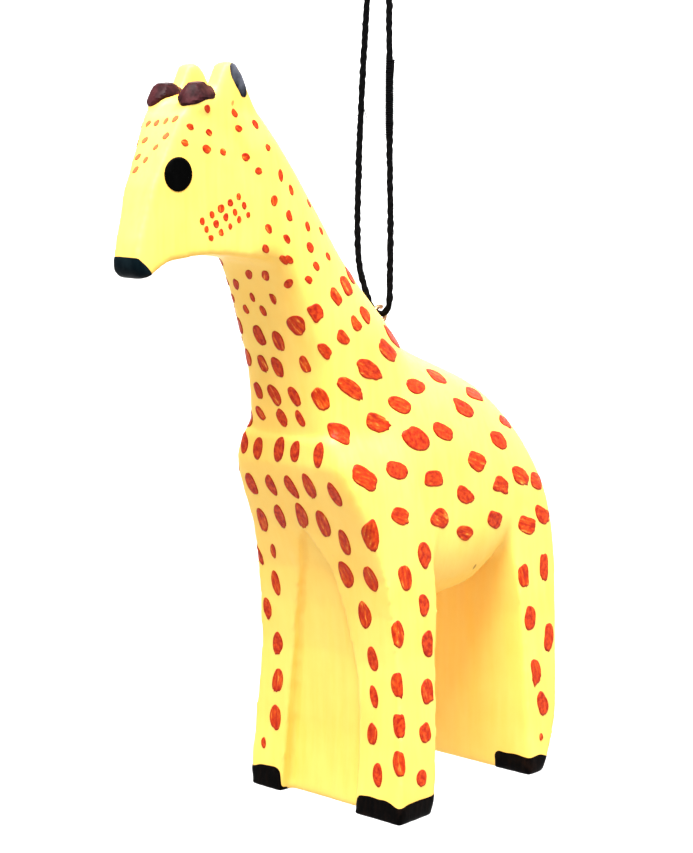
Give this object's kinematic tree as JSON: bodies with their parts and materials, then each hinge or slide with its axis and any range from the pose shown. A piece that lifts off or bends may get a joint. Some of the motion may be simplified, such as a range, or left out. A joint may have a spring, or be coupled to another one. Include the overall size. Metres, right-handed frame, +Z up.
{
  "type": "carved giraffe statue",
  "caption": "Small painted wooden giraffe, carved from one block, hanging by a screw eye in its back from a thin loop of black cord.",
  "frame": {"origin": "under the top of the cord loop, where a hook or twig holds the ornament; the figure's middle plane is x = 0", "axes": "+Z up along the hanging cord, -Y the way the giraffe faces, +X its left side"},
  "size_m": [0.0336, 0.0885, 0.1397],
  "materials": {
    "painted_wood": "hand-brushed satin paint: yellow ground, red-orange dabs, black hooves, nose and eyes, maroon horn caps",
    "eye_metal": "dull copper-brown wire",
    "black_cord": "matt twisted cotton with stray fibres"
  },
  "bodies": {
    "hanger": {"cord_loop": "black_cord", "cord_splice": "black_cord"},
    "figure": {"carved_body": "painted_wood", "screw_eye": "eye_metal"}
  },
  "joints": [
    {"name": "figure_swing", "type": "hinge", "parent": "hanger", "child": "figure", "pos_m": [0, 0, -0.05905], "axis": [1, 0, 0], "range_deg": [-36, 100]}
  ]
}
